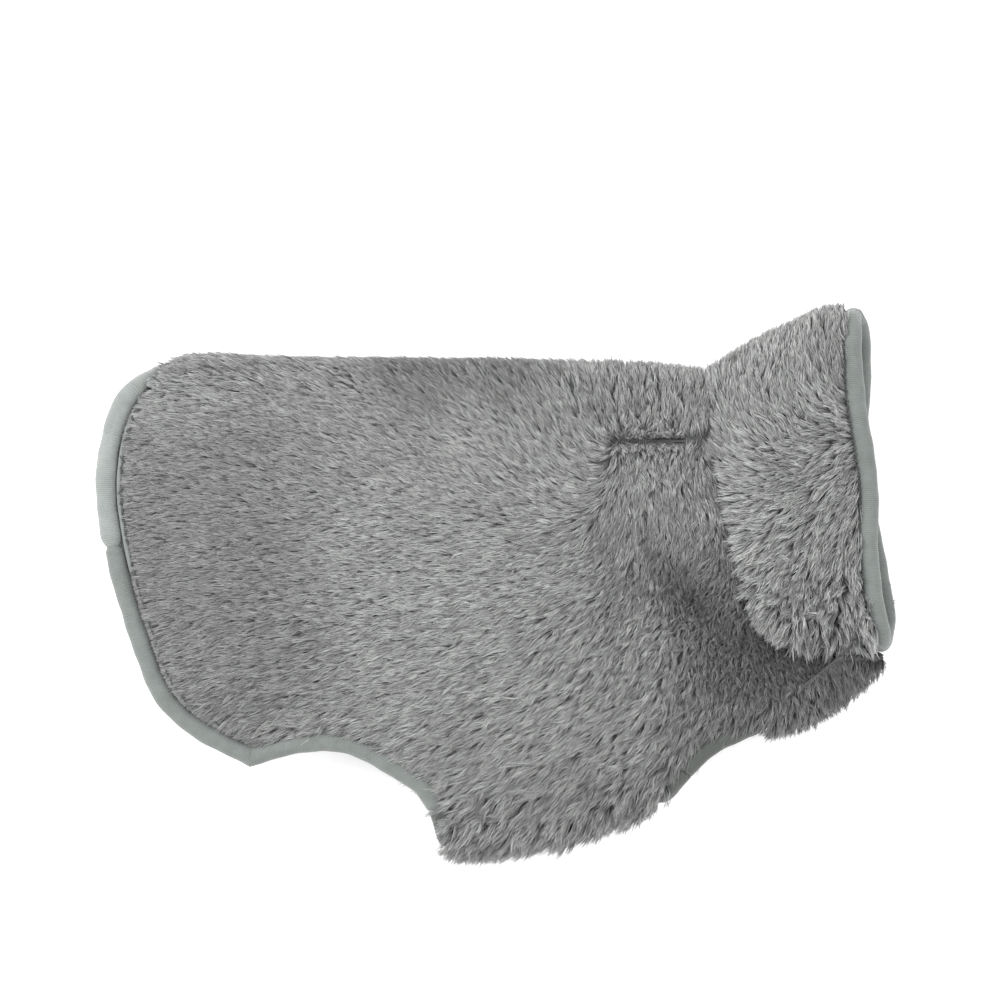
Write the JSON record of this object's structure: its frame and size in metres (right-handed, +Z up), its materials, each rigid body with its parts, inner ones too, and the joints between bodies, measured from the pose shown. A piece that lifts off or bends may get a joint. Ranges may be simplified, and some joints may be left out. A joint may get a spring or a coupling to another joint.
{
  "type": "pet coat",
  "caption": "Long-pile plush coat for a dog, laid flat on its side: high collar, bound hem and leg opening, leash slot in the back, and a belly flap that swings open at its fold",
  "frame": {"origin": "middle of the coat's bounding box, on the surface it lies on", "axes": "the coat lies on its side: +X towards the collar, +Y towards the spine fold, +Z up off the table"},
  "size_m": [0.4006, 0.276, 0.0473],
  "materials": {
    "plush": "long brushed pile",
    "lining": "plain knit jersey",
    "binding": "ribbed knit, rounded",
    "thread": "sewing thread",
    "tape": "hook and loop tape"
  },
  "bodies": {
    "coat": {"near_side_plush": "plush", "near_side_lining": "lining", "near_collar_plush": "plush", "near_collar_lining": "lining", "far_side_plush": "plush", "far_side_lining": "lining", "far_collar_plush": "plush", "far_collar_lining": "lining", "spine_fold_plush": "plush", "spine_fold_lining": "lining", "chest_fold_plush": "plush", "chest_fold_lining": "lining", "belly_fold_plush": "plush", "belly_fold_lining": "lining", "collar_top_fold_plush": "plush", "collar_top_fold_lining": "lining", "collar_throat_fold_plush": "plush", "collar_throat_fold_lining": "lining", "hem_binding_lower": "binding", "hem_binding_upper": "binding", "leg_binding": "binding", "collar_binding": "binding", "belly_fold_binding_rear": "binding", "belly_fold_binding_front": "binding", "loop_tape": "tape", "slot_welt_upper": "lining", "slot_welt_lower": "lining", "slot_tack_front": "thread", "slot_tack_rear": "thread", "neck_seam_thread": "thread", "hem_topstitch": "thread"},
    "belly_flap": {"flap_plush": "plush", "flap_lining": "lining", "flap_binding": "binding", "hook_tape": "tape"}
  },
  "joints": [
    {"name": "belly_flap_swing", "type": "hinge", "parent": "coat", "child": "belly_flap", "pos_m": [0.02716, -0.11275, 0.0198], "axis": [-0.9825, -0.1863, 0], "range_deg": [0, 170], "deforming": ["belly_fold_plush", "belly_fold_lining", "belly_fold_binding_rear", "belly_fold_binding_front"]}
  ]
}
